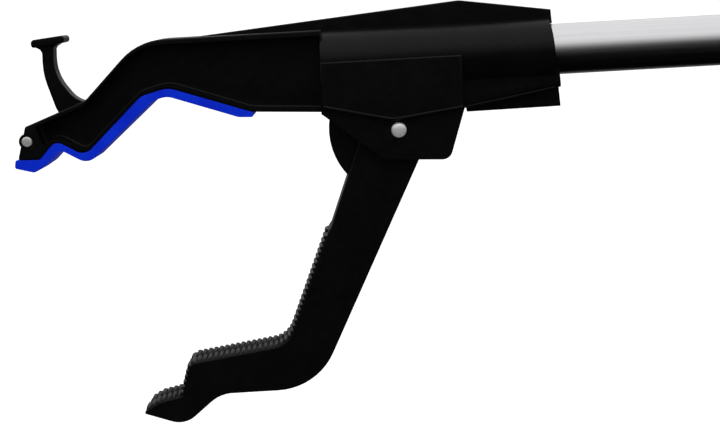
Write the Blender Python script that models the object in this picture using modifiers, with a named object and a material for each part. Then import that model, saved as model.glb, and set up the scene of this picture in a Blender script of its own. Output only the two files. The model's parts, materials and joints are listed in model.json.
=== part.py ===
"""Reacher grabber: a hand tool that picks things up at arm's length.

The tube's axis is world X, with the jaws towards -X and the handle at the origin; +Z is up.
Squeezing the trigger pulls a rod through the tube, and the rod turns the lower jaw up to the
fixed upper jaw. Sizes are in millimetres here, and MM turns them into Blender's metres.
"""

import math

import bmesh
import bpy
from mathutils import Matrix, Vector

MM = 0.001
ARC_STEP = math.radians(22)
ROUND_SIDES = 28
SMALL_SIDES = 16

# Driving dimensions
OVERALL_LENGTH = 660.0
HANDLE_BACK = 10.0  # how far the handle reaches behind the origin
JAW_REACH = 121.7  # pivot to the tip of the upper jaw
JAW_DROP = 21.8  # jaw pivot below the tube's axis
TUBE_RADIUS = 8.0
TUBE_WALL = 1.2
ROD_RADIUS = 1.5
ROD_DROP = 4.0  # rod below the tube's axis
JAW_SWING = math.radians(42)
TRIGGER_SWING = math.radians(28)
RUN = 0.25  # clearance round what turns or slides
GAP = 0.3  # space between pieces that touch

# Places that follow from them
JAW_X = HANDLE_BACK + JAW_REACH - OVERALL_LENGTH
ROD_Z = -ROD_DROP
JAW_CRANK = JAW_DROP - ROD_DROP
ROD_TRAVEL = 2 * JAW_CRANK * math.tan(JAW_SWING / 2)
TRIGGER_CRANK = ROD_TRAVEL / 2 / math.tan(TRIGGER_SWING / 2)
TRIGGER_X = -57.0
TRIGGER_Z = ROD_Z + TRIGGER_CRANK
FRONT_PIN_X = JAW_X - ROD_TRAVEL / 2
REAR_PIN_X = TRIGGER_X - ROD_TRAVEL / 2
TUBE_FRONT_X = JAW_X + 20.3
TUBE_REAR_X = -127.3

# Head, measured from the jaw pivot
UPPER_HALF = 7.5
WEB_HALF = 2.3
LINER_HALF = 7.3
CHEEK_HALF = 11.5
KEEL_HALF = 6.4
FIN_HALF = 1.3
BARREL_RADIUS = 10.1
EAR_HALF = 10.0
EAR_SLOT_HALF = 7.1
JAW_HALF = 6.75
DISC_RADIUS = 22.0
DISC_HALF = 4.9
BOSS_RADIUS = 11.0
ARM_ROOT_RADIUS = 15.9  # what the closing arm sweeps inside the cheeks
LUG_HALF = 2.8
CRANK_PIN_RADIUS = 1.6
JAW_PIN_RADIUS = 2.0
MAGNET_RADIUS = 1.75
MAGNET_PLACE = (-117.1, 2.4)
HEAD_SCREW = 38.0
HEAD_SCREW_SEAT = 9.2
LIP = 1.05  # width of the lip that the web's recess leaves along the arm's underside
# The arm's underside from the tip to the cheeks: corners (x, z, radius)
UNDERSIDE = (
    (-120.4, -3.2, 0.5), (-113.6, -3.4, 1.2), (-108.1, 2.4, 3.0), (-99.3, -2.9, 4.0),
    (-80.1, 14.8, 6.0), (-71.5, 16.95, 8.0), (-46.0, 7.9, 14.0), (-22.5, 6.5, 0),
)

# Handle
SHELL_HALF = 13.0
SHELL_INSIDE = 10.4
TRIGGER_PIN_RADIUS = 2.5
SCREW_RADIUS = 1.4
SCREW_HEAD_RADIUS = 3.0
SCREW_SEAT = 10.4  # where the shell screws' heads sit, on the left side
SCREW_POST_RADIUS = 3.6
SHELL_SCREWS = ((-104, 8.2), (-84, 20.5), (-26, 20), (-15, -52), (-14, -98))
TUBE_SCREW = (-138.0, 1.8)
HANG_HOLE = (-8.0, -114.5)
HANG_HOLE_RADIUS = 3.2
SPRING_FRONT_X = -117.0
SPRING_BACK_X = -84.5
RIB_FRONT_X = SPRING_BACK_X + 1.9  # the shells' rib behind the spring's washer


def clear_scene():
    for obj in list(bpy.data.objects):
        bpy.data.objects.remove(obj)


def new_collection(name):
    collection = bpy.data.collections.new(name)
    bpy.context.scene.collection.children.link(collection)
    return collection


def new_material(name, colour, roughness, metallic=0.0):
    material = bpy.data.materials.new(name)
    material.use_nodes = True
    shader = material.node_tree.nodes["Principled BSDF"]
    shader.inputs["Base Color"].default_value = (*colour, 1)
    shader.inputs["Roughness"].default_value = roughness
    shader.inputs["Metallic"].default_value = metallic
    return material


clear_scene()
PARTS = new_collection("reacher_grabber")
CUTTERS = new_collection("cutters")
BLACK = new_material("black_plastic", (0.012, 0.012, 0.013), 0.42)
BLUE = new_material("blue_rubber", (0.0, 0.045, 0.62), 0.5)
STEEL = new_material("steel", (0.6, 0.6, 0.62), 0.25, 1.0)
NICKEL = new_material("nickel", (0.75, 0.74, 0.72), 0.15, 1.0)
ALUMINIUM = new_material("aluminium", (0.66, 0.66, 0.68), 0.32, 1.0)
NYLON = new_material("nylon", (0.78, 0.77, 0.72), 0.45)


def arc(centre, radius, start, end):
    """Points (x, z) on a circle between two angles, in degrees."""
    sweep = math.radians(end - start)
    steps = max(2, math.ceil(abs(sweep) / ARC_STEP))
    angles = [math.radians(start) + sweep * i / steps for i in range(steps + 1)]
    return [(centre[0] + radius * math.cos(a), centre[1] + radius * math.sin(a)) for a in angles]


def rounded(corners):
    """A closed outline from its corners (x, z, radius), each corner turned into an arc."""
    points = []
    for i, (x, z, radius) in enumerate(corners):
        here = Vector((x, z))
        back = (Vector(corners[i - 1][:2]) - here).normalized()
        onward = (Vector(corners[(i + 1) % len(corners)][:2]) - here).normalized()
        if not radius:
            points.append((x, z))
            continue
        half = back.angle(onward) / 2
        start = here + back * radius / math.tan(half)
        end = here + onward * radius / math.tan(half)
        centre = here + (back + onward).normalized() * radius / math.sin(half)
        first = math.atan2(*(start - centre).yx)
        turn = math.atan2(*(end - centre).yx) - first
        turn = (turn + math.pi) % (2 * math.pi) - math.pi
        steps = max(1, math.ceil(abs(turn) / ARC_STEP))
        for k in range(steps + 1):
            angle = first + turn * k / steps
            points.append(tuple(centre + radius * Vector((math.cos(angle), math.sin(angle)))))
    return points


def shifted(corners, up):
    """An open line of corners (x, z, radius) moved to its left by a distance."""
    made = []
    for i, (x, z, radius) in enumerate(corners):
        here = Vector((x, z))
        runs = [(here - Vector(corners[i - 1][:2])).normalized()] if i else []
        if i < len(corners) - 1:
            runs.append((Vector(corners[i + 1][:2]) - here).normalized())
        lefts = [Vector((-run.y, run.x)) for run in runs]
        middle = sum(lefts, Vector((0, 0))).normalized()
        moved = here + middle * up / middle.dot(lefts[0])
        turns_left = runs[0].cross(runs[-1]) > 0
        made.append((*moved, max(radius - up if turns_left else radius + up, 0.6)))
    return made


def place(obj, collection, material):
    for old in list(obj.users_collection):
        old.objects.unlink(obj)
    collection.objects.link(obj)
    if collection is CUTTERS:
        obj.hide_render = True
        obj.display_type = "WIRE"
    if material and not obj.data.materials:
        obj.data.materials.append(material)
    return obj


def prism(name, outline, low_y, high_y, origin, material=None, edge=0.0):
    """A flat outline (x, z) made as thick as low_y to high_y; without a material it is a cutter."""
    curve = bpy.data.curves.new(name, "CURVE")
    curve.dimensions = "2D"
    curve.fill_mode = "BOTH"
    curve.extrude = ((high_y - low_y) / 2 - edge) * MM
    curve.bevel_depth = edge * MM
    curve.bevel_resolution = 0
    curve.offset = -edge * MM
    spline = curve.splines.new("POLY")
    spline.points.add(len(outline) - 1)
    for point, (x, z) in zip(spline.points, outline):
        point.co = (x * MM, z * MM, 0, 1)
    spline.use_cyclic_u = True
    flat = bpy.data.objects.new(name + "_outline", curve)
    flat.rotation_euler.x = math.radians(90)
    flat.location = Vector((origin[0], (low_y + high_y) / 2, origin[1])) * MM
    bpy.context.scene.collection.objects.link(flat)
    bpy.context.view_layer.update()
    graph = bpy.context.evaluated_depsgraph_get()
    mesh = bpy.data.meshes.new_from_object(flat.evaluated_get(graph))
    bm = bmesh.new()
    bm.from_mesh(mesh)
    bmesh.ops.remove_doubles(bm, verts=bm.verts, dist=0.001 * MM)
    bm.to_mesh(mesh)
    bm.free()
    obj = bpy.data.objects.new(name, mesh)
    obj.matrix_world = flat.matrix_world
    bpy.data.objects.remove(flat)
    return place(obj, PARTS if material else CUTTERS, material)


def block(name, low, high, origin, tilt=0.0):
    """A box cutter between two corners measured from the origin, tilted about Y through the origin."""
    size = [(b - a) * MM for a, b in zip(low, high)]
    centre = Vector([(a + b) / 2 * MM for a, b in zip(low, high)])
    mesh = bpy.data.meshes.new(name)
    bm = bmesh.new()
    shape = Matrix.Translation(centre) @ Matrix.Diagonal((*size, 1))
    bmesh.ops.create_cube(bm, size=1, matrix=shape)
    bm.to_mesh(mesh)
    bm.free()
    obj = bpy.data.objects.new(name, mesh)
    obj.location = (origin[0] * MM, 0, origin[1] * MM)
    obj.rotation_euler.y = tilt
    return place(obj, CUTTERS, None)


def facing(axis):
    """The turn that takes a shape's own Z to a world axis."""
    turns = {"X": ("Y", 90), "-X": ("Y", -90), "Y": ("X", -90), "-Y": ("X", 90)}
    about, degrees = turns[axis]
    return Matrix.Rotation(math.radians(degrees), 4, about)


def rod_shape(name, radius, axis, start, length, sides=ROUND_SIDES, material=None):
    """A plain cylinder from a start point (x, y, z) along an axis."""
    mesh = bpy.data.meshes.new(name)
    bm = bmesh.new()
    bmesh.ops.create_cone(
        bm,
        cap_ends=True,
        segments=sides,
        radius1=radius * MM,
        radius2=radius * MM,
        depth=length * MM,
        matrix=Matrix.Translation((0, 0, length / 2 * MM)),
    )
    bm.to_mesh(mesh)
    bm.free()
    obj = bpy.data.objects.new(name, mesh)
    obj.matrix_world = Matrix.Translation(Vector(start) * MM) @ facing(axis)
    return place(obj, PARTS if material else CUTTERS, material)


def turned(name, profile, axis, start, material, ring=False, sides=ROUND_SIDES):
    """A turned piece: profile (radius, height) runs down the outer side; a ring's comes back up."""
    mesh = bpy.data.meshes.new(name)
    points = [(radius * MM, 0, height * MM) for radius, height in profile]
    edges = [(i, i + 1) for i in range(len(points) - 1)]
    if ring:
        edges.append((len(points) - 1, 0))
    mesh.from_pydata(points, edges, [])
    obj = bpy.data.objects.new(name, mesh)
    obj.matrix_world = Matrix.Translation(Vector(start) * MM) @ facing(axis)
    screw = obj.modifiers.new("turn", "SCREW")
    screw.steps = sides
    screw.render_steps = sides
    screw.use_merge_vertices = True
    screw.merge_threshold = 0.00001
    return place(obj, PARTS, material)


def wire(name, points, radius, material, resolution=2):
    """A round wire through world points (x, y, z)."""
    curve = bpy.data.curves.new(name, "CURVE")
    curve.dimensions = "3D"
    curve.bevel_depth = radius * MM
    curve.bevel_resolution = resolution
    curve.use_fill_caps = True
    spline = curve.splines.new("POLY")
    spline.points.add(len(points) - 1)
    for point, at in zip(spline.points, points):
        point.co = (*(Vector(at) * MM), 1)
    obj = bpy.data.objects.new(name, curve)
    return place(obj, PARTS, material)


def boolean(target, other, operation):
    step = target.modifiers.new(other.name, "BOOLEAN")
    step.operation = operation
    step.solver = "EXACT"
    step.object = other


def cut(target, *cutters):
    for cutter in cutters:
        boolean(target, cutter, "DIFFERENCE")


def join(target, *others):
    for other in others:
        boolean(target, other, "UNION")


def soften(obj, on_edge, width, segments):
    """Rounds the long edges of a prism's flat faces where on_edge(x, z), from the origin, is true."""
    bm = bmesh.new()
    bm.from_mesh(obj.data)
    half = max(abs(v.co.z) for v in bm.verts)
    chosen = []
    for edge in bm.edges:
        a, b = edge.verts
        flat = abs(abs(a.co.z) - half) < 1e-6 and abs(a.co.z - b.co.z) < 1e-6
        corner = flat and any(abs(face.normal.z) < 0.5 for face in edge.link_faces)
        if corner and on_edge(a.co.x / MM, a.co.y / MM) and on_edge(b.co.x / MM, b.co.y / MM):
            chosen.append(edge)
    bmesh.ops.bevel(
        bm,
        geom=chosen,
        offset=width * MM,
        segments=segments,
        profile=0.5,
        affect="EDGES",
        clamp_overlap=True,
    )
    bm.to_mesh(obj.data)
    bm.free()


def make_jaw_frame():
    """The fixed moulding: I-section upper jaw, hook, cheeks, ears, fins and the tube socket."""
    at = (JAW_X, -JAW_DROP)
    arm = [(-22.5, 32.0, 0), (-79.5, 32.0, 20), (-97.6, 14.3, 4), (-117.2, 7.1, 0.8), *UNDERSIDE]
    frame = prism("jaw_frame", rounded(arm), -UPPER_HALF, UPPER_HALF, at, BLACK, edge=0.4)
    lip = shifted(UNDERSIDE, LIP)
    recess = [
        (-23.2, 30.4, 0), (-80.1, 30.4, 18.4), (-98.1, 12.8, 5), (-114.0, 6.9, 0.6),
        (-112.2, 0.2, 0.6), *lip[2:-1], (-23.2, lip[-1][1], 0),
    ]
    for side in (-1, 1):
        low, high = sorted((side * WEB_HALF, side * 20))
        cut(frame, prism("web_recess", rounded(recess), low, high, at))
    cheeks = [
        (-23.5, JAW_DROP + 0.4, 0), (20.5, JAW_DROP + 0.4, 0), (20.5, 5.7, 0), (-1.0, 2.7, 16), (-23.5, 8.0, 0),
    ]
    keel = [(-8, 24, 0), (56, 24, 0), (56, 10.9, 0), (20, 4.9, 3), (-8, 4.9, 0)]
    ears = [
        (-23.9, 13.8, 0), (-23.9, 6.15, 0), (-4.8, -9.2, 2.5), (15.7, -10.3, 3.2),
        (20.8, 5.4, 0), (20.8, 13.8, 0),
    ]
    top_fin = [(-64, 30, 0), (-61, 32.15, 0), (21.1, 38.8, 6), (56, 33.5, 0), (56, 30, 0)]
    low_fin = [(15, 12, 0), (15, 3.5, 0), (56, 3.8, 0), (56, 12, 0)]
    rear_x = JAW_X + 50.9
    barrel = rod_shape("barrel", BARREL_RADIUS, "X", (JAW_X - 23.4, 0, 0), 78)
    cut(barrel, block("barrel_face", (0, -30, -40), (40, 30, 40), (rear_x - 1.2, 0), tilt=math.radians(-4.5)))
    magnet_x, magnet_z = JAW_X + MAGNET_PLACE[0], MAGNET_PLACE[1] - JAW_DROP
    boss_half = UPPER_HALF - 0.2
    join(
        frame,
        rod_shape("magnet_boss", MAGNET_RADIUS + 0.8, "Y", (magnet_x, -boss_half, magnet_z), 2 * boss_half),
        barrel,
        prism("cheeks", rounded(cheeks), -CHEEK_HALF, CHEEK_HALF, at),
        prism("keel", rounded(keel), -KEEL_HALF, KEEL_HALF, at, edge=1.5),
        prism("ears", rounded(ears), -EAR_HALF, EAR_HALF, at, edge=0.5),
        prism("top_fin", rounded(top_fin), -FIN_HALF, FIN_HALF, at),
        prism("low_fin", rounded(low_fin), -FIN_HALF, FIN_HALF, at),
    )
    stem = [
        (-106.6, 9.0, 0), (-108.1, 12.2, 6), (-111.1, 23.0, 22), (-110.7, 30.4, 2), (-113.0, 31.6, 0),
        (-112.0, 33.4, 0), (-104.6, 34.0, 0), (-104.6, 32.6, 0), (-107.1, 31.2, 1.6), (-107.6, 22.8, 14),
        (-100.9, 13.3, 8), (-94.0, 13.6, 0),
    ]
    bar = [
        (-113.6, 31.2, 0.9), (-113.7, 33.8, 1.2), (-103.1, 34.85, 1.0), (-103.1, 32.65, 0.9),
        (-107.6, 31.9, 2.0), (-111.6, 31.6, 0.8),
    ]
    join(
        frame,
        prism("hook_stem", rounded(stem), -2.6, 2.6, at),
        prism("hook_bar", rounded(bar), -4, 4, at, edge=0.3),
    )
    disc_room = DISC_HALF + 0.4
    magnet_at = (magnet_x, -20, magnet_z)
    screw_x = JAW_X + HEAD_SCREW
    cut(
        frame,
        block("rear_face", (0, -30, -40), (40, 30, 40), (rear_x, 0), tilt=math.radians(-4.5)),
        rod_shape("socket", TUBE_RADIUS + RUN, "X", (JAW_X + 18.4, 0, 0), 60),
        rod_shape("disc_room", DISC_RADIUS + 0.8, "Y", (JAW_X, -disc_room, -JAW_DROP), 2 * disc_room, 48),
        block("crank_room", (-14, -disc_room, 10), (20.1, disc_room, 24.4), at),
        rod_shape("root_room", ARM_ROOT_RADIUS, "Y", (JAW_X, -EAR_SLOT_HALF, -JAW_DROP), 2 * EAR_SLOT_HALF, 36),
        block("ear_slot", (-30, -EAR_SLOT_HALF, -20), (20.2, EAR_SLOT_HALF, 4.3), at),
        rod_shape("pin_hole", JAW_PIN_RADIUS + RUN, "Y", (JAW_X, -20, -JAW_DROP), 40, SMALL_SIDES),
        rod_shape("nut_room", 3.7, "Y", (JAW_X, EAR_HALF + 0.1, -JAW_DROP), 3, SMALL_SIDES),
        rod_shape("magnet_hole", MAGNET_RADIUS + RUN, "Y", magnet_at, 40, SMALL_SIDES),
        rod_shape("screw_hole", SCREW_RADIUS + RUN, "Y", (screw_x, 5, 0), 20, SMALL_SIDES),
        rod_shape("screw_seat", SCREW_HEAD_RADIUS + 0.4, "Y", (screw_x, HEAD_SCREW_SEAT, 0), 20, SMALL_SIDES),
    )


def make_jaw_liner():
    """The soft strip that follows the underside of the upper jaw."""
    top = shifted(UNDERSIDE, -GAP)[-3:0:-1]
    strip = [
        (-45.3, 7.65, 0.6), *top, (-121.3, -3.5, 0.7), (-121.8, -5.9, 0.8), (-115.6, -7.6, 2),
        (-111.6, -5.2, 3), (-106.9, -0.8, 2), (-98.5, -5.8, 4.5), (-76.3, 13.1, 5), (-72.0, 14.2, 6),
        (-50.0, 6.4, 4), (-45.4, 6.2, 0.6),
    ]
    prism("jaw_liner", rounded(strip), -LINER_HALF, LINER_HALF, (JAW_X, -JAW_DROP), BLUE, edge=0.3)


def make_tip_magnet():
    x, z = MAGNET_PLACE
    half = UPPER_HALF - 0.1
    profile = [(0, 2 * half), (MAGNET_RADIUS - 0.3, 2 * half), (MAGNET_RADIUS, 2 * half - 0.3)]
    profile += [(MAGNET_RADIUS, 0.3), (MAGNET_RADIUS - 0.3, 0), (0, 0)]
    turned("tip_magnet", profile, "Y", (JAW_X + x, -half, z - JAW_DROP), NICKEL, sides=SMALL_SIDES)


def leaned(points, angle):
    """Points (x, z) turned about the origin, anticlockwise when X points right and Z up."""
    c, s = math.cos(angle), math.sin(angle)
    return [(x * c - z * s, x * s + z * c) for x, z in points]


def serrated(start, end, pitch, height):
    """Teeth of one height along a straight stretch, standing to the right of its direction."""
    start, end = Vector(start), Vector(end)
    count = max(1, round((end - start).length / pitch))
    along = (end - start) / count
    outward = Vector((along.y, -along.x)).normalized() * height
    points = []
    for i in range(count):
        points.append(tuple(start + along * i))
        points.append(tuple(start + along * (i + 0.5) + outward))
    points.append(tuple(end))
    return points


def make_lower_jaw():
    """The moving jaw, drawn open: toothed arm, hub, disc segment and the crank that the rod pulls."""
    at = (JAW_X, -JAW_DROP)
    pitch, height = 1.85, 0.9
    smooth_back = rounded([
        (-88.5, -89.3, 0.5), (-74.9, -93.9, 8), (-62.5, -83.8, 12), (-30.7, -83.8, 21),
        (8.7, -4.9, 0), (0, 2, 0), (-12.0, -2.0, 0), (-23.1, -30.6, 0), (-87.4, -88.3, 0),
    ])[:-2]
    gripping = serrated((-23.4, -31.4), (-37.5, -64.6), pitch, height)
    gripping += serrated((-38.6, -66.6), (-41.4, -68.8), pitch, height)
    gripping += serrated((-43.2, -69.6), (-70.3, -72.9), pitch, height)
    gripping += serrated((-71.8, -74.2), (-74.5, -83.5), pitch, height)
    gripping += serrated((-75.6, -84.3), (-82.7, -85.4), pitch, height)
    gripping += serrated((-83.4, -86.3), (-88.4, -89.0), pitch, height)
    jaw = prism("lower_jaw", smooth_back + gripping, -JAW_HALF, JAW_HALF, at, BLACK)

    def on_back(x, z):
        behind = x > -6 and z < -6
        under = z < -83 and x > -66
        slope = x > -30.7 + (z + 83.6) * 0.36 and z < -25
        toe = z < -88.5 and x > -84
        return behind or under or slope or toe

    soften(jaw, on_back, 2.2, 2)
    disc = arc((0, 0), DISC_RADIUS, 160, 243) + [(0, -6), (6, 2)]
    lug = arc((0, 19.4), 4.4, 0, 180) + [(-4.4, 0), (4.4, 0)]
    hub_half = JAW_HALF - 0.1
    join(
        jaw,
        rod_shape("hub", BOSS_RADIUS, "Y", (JAW_X, -hub_half, -JAW_DROP), 2 * hub_half, 32),
        prism("disc", disc, -DISC_HALF, DISC_HALF, at),
        prism("lug", leaned(lug, JAW_SWING / 2), -LUG_HALF, LUG_HALF, at),
    )
    slot_radius = CRANK_PIN_RADIUS + RUN
    low, high = JAW_CRANK - RUN, JAW_CRANK / math.cos(JAW_SWING / 2) + RUN
    slot = arc((0, high), slot_radius, 0, 180) + arc((0, low), slot_radius, 180, 360)
    cut(
        jaw,
        prism("crank_slot", leaned(slot, JAW_SWING / 2), -20, 20, at),
        rod_shape("jaw_bore", JAW_PIN_RADIUS + RUN, "Y", (JAW_X, -20, -JAW_DROP), 40, SMALL_SIDES),
    )


def make_jaw_pin():
    """A rivet with a domed head on the near ear, kept by a push-on nut on the far one."""
    head = 2.4
    near = -EAR_HALF - GAP
    length = 2 * EAR_HALF + 2.6
    radius = JAW_PIN_RADIUS
    profile = [(0, length), (radius - 0.3, length), (radius, length - 0.3), (radius, 0)]
    profile += [(head, 0), (head, -0.5), (head * 0.75, -0.95), (0, -1.15)]
    turned("jaw_pivot_pin", profile, "Y", (JAW_X, near, -JAW_DROP), STEEL, sides=SMALL_SIDES)
    far = (JAW_X, EAR_HALF + GAP, -JAW_DROP)
    nut = [(2.6, 1.3), (3.3, 0.4), (3.3, 0), (radius + 0.1, 0), (radius + 0.1, 1.3)]
    turned("jaw_pin_push_nut", nut, "Y", far, STEEL, ring=True, sides=SMALL_SIDES)


def make_tube():
    """The aluminium tube with the holes for its two screws."""
    length = TUBE_REAR_X - TUBE_FRONT_X
    inner = TUBE_RADIUS - TUBE_WALL
    ring = [(TUBE_RADIUS, length), (TUBE_RADIUS, 0), (inner, 0), (inner, length)]
    tube = turned("tube", ring, "X", (TUBE_FRONT_X, 0, 0), ALUMINIUM, ring=True, sides=32)
    bore = SCREW_RADIUS + RUN
    cut(
        tube,
        rod_shape("head_screw_hole", bore, "Y", (JAW_X + HEAD_SCREW, 4, 0), 20, SMALL_SIDES),
        rod_shape("tube_screw_hole", bore, "Y", (TUBE_SCREW[0], -20, TUBE_SCREW[1]), 40, SMALL_SIDES),
    )


def make_rod_guide(name, inner_end_x, length, towards, screw_hole):
    """A plug in the tube's end: a thin flange outside, and an off-centre hole for the rod."""
    plug = TUBE_RADIUS - TUBE_WALL - 0.3
    flange = TUBE_RADIUS - 0.4
    profile = [(0, length), (plug, length), (plug, 0), (flange, 0), (flange, -1.2), (0, -1.2)]
    guide = turned(name, profile, towards, (inner_end_x, 0, 0), NYLON, sides=SMALL_SIDES)
    bore_start = (inner_end_x - 40, 0, ROD_Z)
    cut(guide, rod_shape(name + "_bore", ROD_RADIUS + RUN, "X", bore_start, 80, SMALL_SIDES))
    if screw_hole:
        hole_start = (TUBE_SCREW[0], -20, TUBE_SCREW[1])
        cut(guide, rod_shape(name + "_cross", SCREW_RADIUS + RUN, "Y", hole_start, 40, SMALL_SIDES))


def make_fork(name, pin_x, towards_rod):
    """A fork on the rod's end: two arms round the crank, and a socket that takes the rod."""
    reach = 8.0
    arms = [
        (pin_x + towards_rod * reach, -3.6, 1.2), (pin_x + towards_rod * reach, 3.6, 1.2),
        (pin_x - towards_rod * 3.8, 3.6, 3.4), (pin_x - towards_rod * 3.8, -3.6, 3.4),
    ]
    fork = prism(name, rounded(arms), -4.9, 4.9, (0, ROD_Z), STEEL)
    start = min(pin_x + towards_rod * (reach - 1), pin_x + towards_rod * (reach + 3.2))
    join(fork, rod_shape(name + "_neck", 3.0, "X", (start, 0, ROD_Z), 4.2, SMALL_SIDES))
    low, high = sorted((pin_x + towards_rod * 6.2, pin_x - towards_rod * 8))
    bore_start = (pin_x + min(0, towards_rod * 20), 0, ROD_Z)
    cut(
        fork,
        block(name + "_slot", (low, -LUG_HALF - GAP, -8), (high, LUG_HALF + GAP, 8), (0, ROD_Z)),
        rod_shape(name + "_eye", CRANK_PIN_RADIUS + 0.1, "Y", (pin_x, -20, ROD_Z), 40, SMALL_SIDES),
        rod_shape(name + "_bore", ROD_RADIUS + 0.1, "X", bore_start, 20, SMALL_SIDES),
    )
    radius = CRANK_PIN_RADIUS
    pin = [(0, 10), (radius - 0.2, 10), (radius, 9.8), (radius, 0.2), (radius - 0.2, 0), (0, 0)]
    turned(name + "_pin", pin, "Y", (pin_x, -5, ROD_Z), STEEL, sides=SMALL_SIDES)


def make_rod_train():
    """The rod, its forks, the collar, the return spring and the washer that the spring pushes on."""
    make_fork("front_fork", FRONT_PIN_X, 1)
    make_fork("rear_fork", REAR_PIN_X, -1)
    start, end = FRONT_PIN_X + 7.0, REAR_PIN_X - 7.0
    wire("pull_rod", [(start, 0, ROD_Z), (end, 0, ROD_Z)], ROD_RADIUS, STEEL, resolution=3)
    collar = [(4.4, 4.5), (4.4, 0.4), (4.0, 0), (ROD_RADIUS + 0.1, 0), (ROD_RADIUS + 0.1, 4.5)]
    collar_at = (SPRING_FRONT_X - 4.5 - GAP, 0, ROD_Z)
    turned("spring_collar", collar, "X", collar_at, NYLON, ring=True, sides=SMALL_SIDES)
    washer = [(4.9, 1.2), (4.9, 0), (ROD_RADIUS + RUN, 0), (ROD_RADIUS + RUN, 1.2)]
    washer_at = (SPRING_BACK_X + GAP, 0, ROD_Z)
    turned("spring_seat_washer", washer, "X", washer_at, STEEL, ring=True, sides=SMALL_SIDES)
    turns, per_turn, coil, thick = 9, 12, 3.3, 0.5
    points = []
    for i in range(turns * per_turn + 1):
        angle = 2 * math.pi * i / per_turn
        share = i / (turns * per_turn)
        x = SPRING_FRONT_X + thick + share * (SPRING_BACK_X - SPRING_FRONT_X - 2 * thick)
        points.append((x, coil * math.cos(angle), ROD_Z + coil * math.sin(angle)))
    wire("return_spring", points, thick, STEEL, resolution=1)


def handle_outline():
    return rounded([
        (-167, 11.8, 4.5), (-118, 12.4, 40), (-88, 32.0, 24), (-50, 34.6, 60), (15.6, 17.5, 7),
        (-1.5, -2.5, 20), (8, -46, 45), (-1, -90, 45), (11, -123, 6), (-26.5, -123, 7),
        (-29.5, -66, 60), (-31.5, -13.5, 7), (-120, -12.4, 0), (-167, -11.8, 4.5),
    ])


def make_handle_shell(name, side):
    """One half of the handle, hollow round the mechanism; side is -1 for the left (-Y) half."""
    shell = prism(name, handle_outline(), -SHELL_HALF, SHELL_HALF, (0, 0), BLACK, edge=2.6)
    trigger_room = [
        (-80.3, -30, 0), (-80.3, 13, 4), (-74, 30.7, 6), (-40, 30.7, 8), (-34.5, 12, 3), (-34.5, -30, 0),
    ]
    grip_room = [
        (-28, -18, 3), (-3, -12, 5), (3.8, -46, 30), (-4, -88, 30), (-1, -106, 3), (-25, -106, 3),
        (-27, -60, 40),
    ]
    cut(
        shell,
        rod_shape("tube_room", TUBE_RADIUS + RUN, "X", (-180, 0, 0), 180 - 125.5),
        rod_shape("spring_room", 6.0, "X", (-126, 0, ROD_Z), 126 + RIB_FRONT_X, SMALL_SIDES),
        rod_shape("rod_way", ROD_RADIUS + 0.5, "X", (-100, 0, ROD_Z), 30, SMALL_SIDES),
        prism("trigger_room", rounded(trigger_room), -SHELL_INSIDE, SHELL_INSIDE, (0, 0)),
        prism("grip_room", rounded(grip_room), -SHELL_INSIDE, SHELL_INSIDE, (0, 0)),
    )
    wall = SHELL_INSIDE + 0.5
    for x, z in SHELL_SCREWS[3:]:
        join(shell, rod_shape("screw_post", SCREW_POST_RADIUS, "Y", (x, -wall, z), 2 * wall, SMALL_SIDES))
    post_length = wall - 7.2
    low = 7.2 if side > 0 else -wall
    join(shell, rod_shape("pivot_post", 5.0, "Y", (TRIGGER_X, low, TRIGGER_Z), post_length, 24))
    pin_half = SHELL_INSIDE + 0.8
    cut(
        shell,
        rod_shape("pivot_hole", TRIGGER_PIN_RADIUS + 0.1, "Y", (TRIGGER_X, -pin_half, TRIGGER_Z), 2 * pin_half),
        rod_shape("hang_hole", HANG_HOLE_RADIUS, "Y", (HANG_HOLE[0], -20, HANG_HOLE[1]), 40, 24),
    )
    for x, z in (*SHELL_SCREWS, TUBE_SCREW):
        start = (x, -20, z)
        cut(
            shell,
            rod_shape("screw_hole", SCREW_RADIUS + 0.2, "Y", start, 31, SMALL_SIDES),
            rod_shape("screw_well", SCREW_HEAD_RADIUS + 0.4, "Y", start, 20 - SCREW_SEAT, SMALL_SIDES),
        )
    low, high = sorted((side * GAP / 2, side * -30))
    cut(shell, block("other_half", (-200, low, -160), (60, high, 80), (0, 0)))


def make_screw(name, x, z, head_y, length, direction):
    """A pan-head screw with a cross recess, its head's underside at head_y."""
    profile = [(0, length), (SCREW_RADIUS * 0.4, length), (SCREW_RADIUS, length - 1.6), (SCREW_RADIUS, 0)]
    profile += [(SCREW_HEAD_RADIUS, 0), (SCREW_HEAD_RADIUS, -0.9), (SCREW_HEAD_RADIUS * 0.8, -1.6), (0, -1.9)]
    screw = turned(name, profile, direction, (x, head_y, z), STEEL, sides=16)
    sign = 1 if direction == "Y" else -1
    deep = sorted((head_y - sign * 3.0, head_y - sign * 1.0))
    wide, narrow = 1.7, 0.35
    for half_x, half_z in ((wide, narrow), (narrow, wide)):
        cut(screw, block("cross", (-half_x, deep[0], -half_z), (half_x, deep[1], half_z), (x, z)))


def make_screws():
    seat = -SCREW_SEAT - GAP
    for i, (x, z) in enumerate(SHELL_SCREWS):
        make_screw(f"shell_screw_{i + 1}", x, z, seat, 20, "Y")
    make_screw("tube_screw", *TUBE_SCREW, seat, 20, "Y")
    make_screw("head_screw", JAW_X + HEAD_SCREW, 0, HEAD_SCREW_SEAT + GAP, 5.0, "-Y")


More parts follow.
